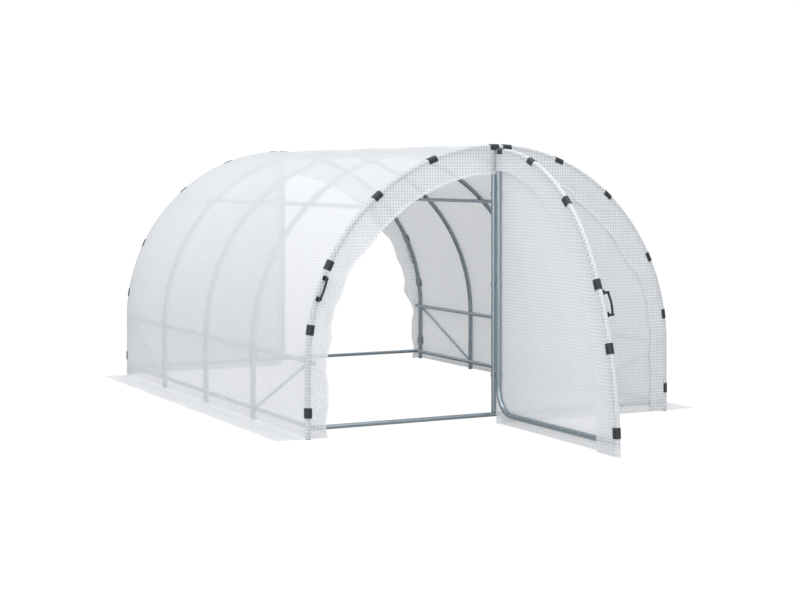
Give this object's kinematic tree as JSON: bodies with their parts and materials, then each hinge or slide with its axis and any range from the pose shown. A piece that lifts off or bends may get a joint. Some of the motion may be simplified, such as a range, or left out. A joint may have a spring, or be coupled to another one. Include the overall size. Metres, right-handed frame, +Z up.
{
  "type": "polytunnel greenhouse",
  "caption": "Walk-in polytunnel greenhouse: tube hoops under a translucent reinforced cover, with clipped end walls and a hinged half-width door at each end.",
  "frame": {"origin": "centre of the footprint on the ground", "axes": "+X across the tunnel to the right seen from the front end, +Y along the tunnel from the front end to the back, +Z up"},
  "size_m": [3.4436, 7.1392, 2.0246],
  "materials": {
    "galvanised_tube": "galvanised, satin",
    "reinforced_sheet": "translucent film over a square grid of threads",
    "clip_plastic": "moulded, matte",
    "handle_plastic": "moulded, matte"
  },
  "bodies": {
    "frame": {"hoop_front": "galvanised_tube", "hoop_second": "galvanised_tube", "hoop_middle": "galvanised_tube", "hoop_fourth": "galvanised_tube", "hoop_back": "galvanised_tube", "ground_rail_left": "galvanised_tube", "ground_rail_right": "galvanised_tube", "mid_rail_left": "galvanised_tube", "mid_rail_right": "galvanised_tube", "purlin_left": "galvanised_tube", "purlin_right": "galvanised_tube", "ridge_rail": "galvanised_tube", "brace_front_left": "galvanised_tube", "brace_front_right": "galvanised_tube", "brace_back_left": "galvanised_tube", "brace_back_right": "galvanised_tube", "ground_bar_front": "galvanised_tube", "ground_bar_back": "galvanised_tube", "post_front": "galvanised_tube", "post_back": "galvanised_tube", "main_cover": "reinforced_sheet", "end_flap_front": "reinforced_sheet", "end_flap_back": "reinforced_sheet", "end_panel_front": "reinforced_sheet", "end_panel_back": "reinforced_sheet", "cover_clips_front": "clip_plastic", "cover_clips_back": "clip_plastic", "hinges_front": "galvanised_tube", "hinges_back": "galvanised_tube", "jamb_handle_front": "handle_plastic", "jamb_handle_back": "handle_plastic"},
    "door_front": {"door_frame_front": "galvanised_tube", "door_panel_front": "reinforced_sheet", "door_strip_front": "reinforced_sheet", "door_clips_front": "clip_plastic", "door_handle_front": "handle_plastic"},
    "door_back": {"door_frame_back": "galvanised_tube", "door_panel_back": "reinforced_sheet", "door_strip_back": "reinforced_sheet", "door_clips_back": "clip_plastic", "door_handle_back": "handle_plastic"}
  },
  "joints": [
    {"name": "door_front_hinge", "type": "hinge", "parent": "frame", "child": "door_front", "pos_m": [-0.014, -2.06, 1.01], "axis": [0, 0, 1], "range_deg": [-90, 75]},
    {"name": "door_back_hinge", "type": "hinge", "parent": "frame", "child": "door_back", "pos_m": [0.014, 2.06, 1.01], "axis": [0, 0, 1], "range_deg": [-90, 75]}
  ]
}
